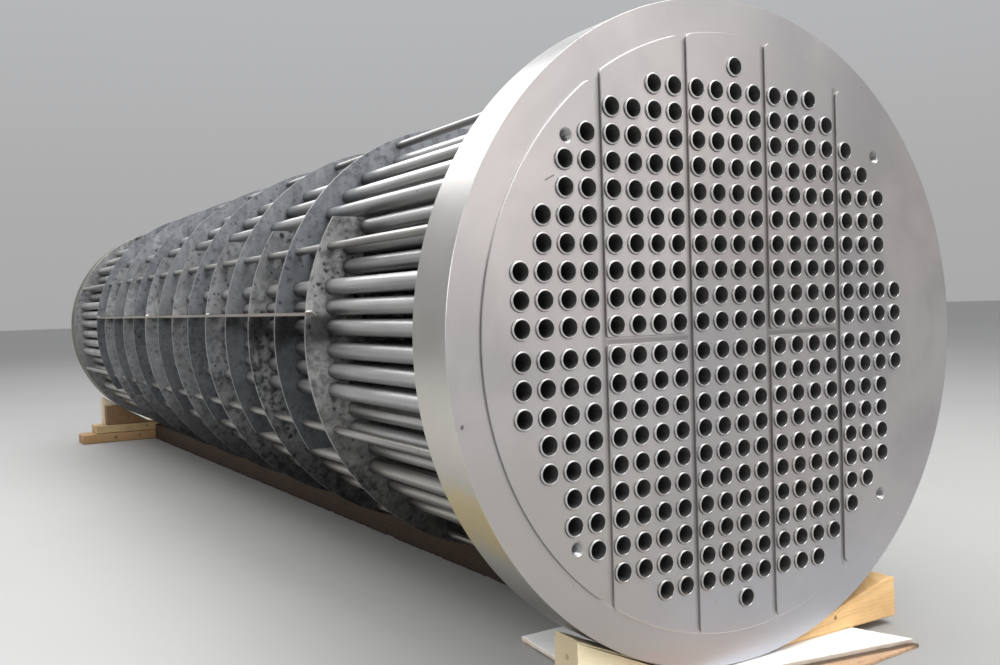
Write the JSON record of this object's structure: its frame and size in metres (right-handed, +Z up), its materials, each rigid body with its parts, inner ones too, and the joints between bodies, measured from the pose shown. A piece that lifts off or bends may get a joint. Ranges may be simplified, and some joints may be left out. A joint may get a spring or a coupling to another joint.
{
  "type": "shell and tube heat exchanger tube bundle",
  "caption": "Tube bundle of a fixed shell and tube heat exchanger, with grooved front tubesheet, cut baffles, floating rear tubesheet and open tubes, resting on timber chocks.",
  "frame": {"origin": "on the level ground, under the middle of the whole object's box", "axes": "+Z up; +Y along the bundle, from the front tubesheet to the rear one; the front tubesheet's face looks along -Y; +X to the right of someone who looks at that face"},
  "size_m": [0.838, 3.267, 0.8505],
  "materials": {
    "tubesheet": "turned and milled face, fine tool marks",
    "rear_sheet": "turned rim, rolled face",
    "baffle": "blue-grey rolling skin with spots, bright cut edges",
    "tube": "drawn tube, satin",
    "strip": "flat bar, dull",
    "tie_rod": "plain round bar, drawn",
    "brown_sheet": "fibreboard, raw",
    "white_board": "board with a white face, worn",
    "chock_left": "sawn softwood, weathered end",
    "chock_right": "sawn softwood, orange-tan",
    "dark_timber": "old sawn timber, dark",
    "plank": "sawn plank, rough",
    "rear_block": "sawn block, dark",
    "rear_chock": "sawn wedge, pale"
  },
  "bodies": {
    "root": {"front_tubesheet": "tubesheet", "rear_tubesheet": "rear_sheet", "baffle_01": "baffle", "baffle_02": "baffle", "baffle_03": "baffle", "baffle_04": "baffle", "baffle_05": "baffle", "baffle_06": "baffle", "baffle_07": "baffle", "baffle_08": "baffle", "baffle_09": "baffle", "baffle_10": "baffle", "baffle_11": "baffle", "baffle_12": "baffle", "baffle_13": "baffle", "baffle_14": "baffle", "tubes_upper_1": "tube", "tubes_upper_2": "tube", "tubes_upper_3": "tube", "tubes_upper_4": "tube", "tubes_upper_5": "tube", "tubes_lower_1": "tube", "tubes_lower_2": "tube", "tubes_lower_3": "tube", "tubes_lower_4": "tube", "tubes_lower_5": "tube", "side_strip_left": "strip", "side_strip_right": "strip", "tie_rods_top": "tie_rod", "tie_rods_bottom": "tie_rod", "tie_rods_left": "tie_rod", "tie_rods_right": "tie_rod", "ground_sheet": "brown_sheet", "white_board": "white_board", "front_chock_left": "chock_left", "front_chock_right": "chock_right", "long_plank": "dark_timber", "rear_plank_lower": "plank", "rear_plank_upper": "plank", "rear_block_left": "rear_block", "rear_block_right": "rear_block", "rear_chock_left": "rear_chock", "rear_chock_right": "rear_chock"}
  },
  "joints": []
}
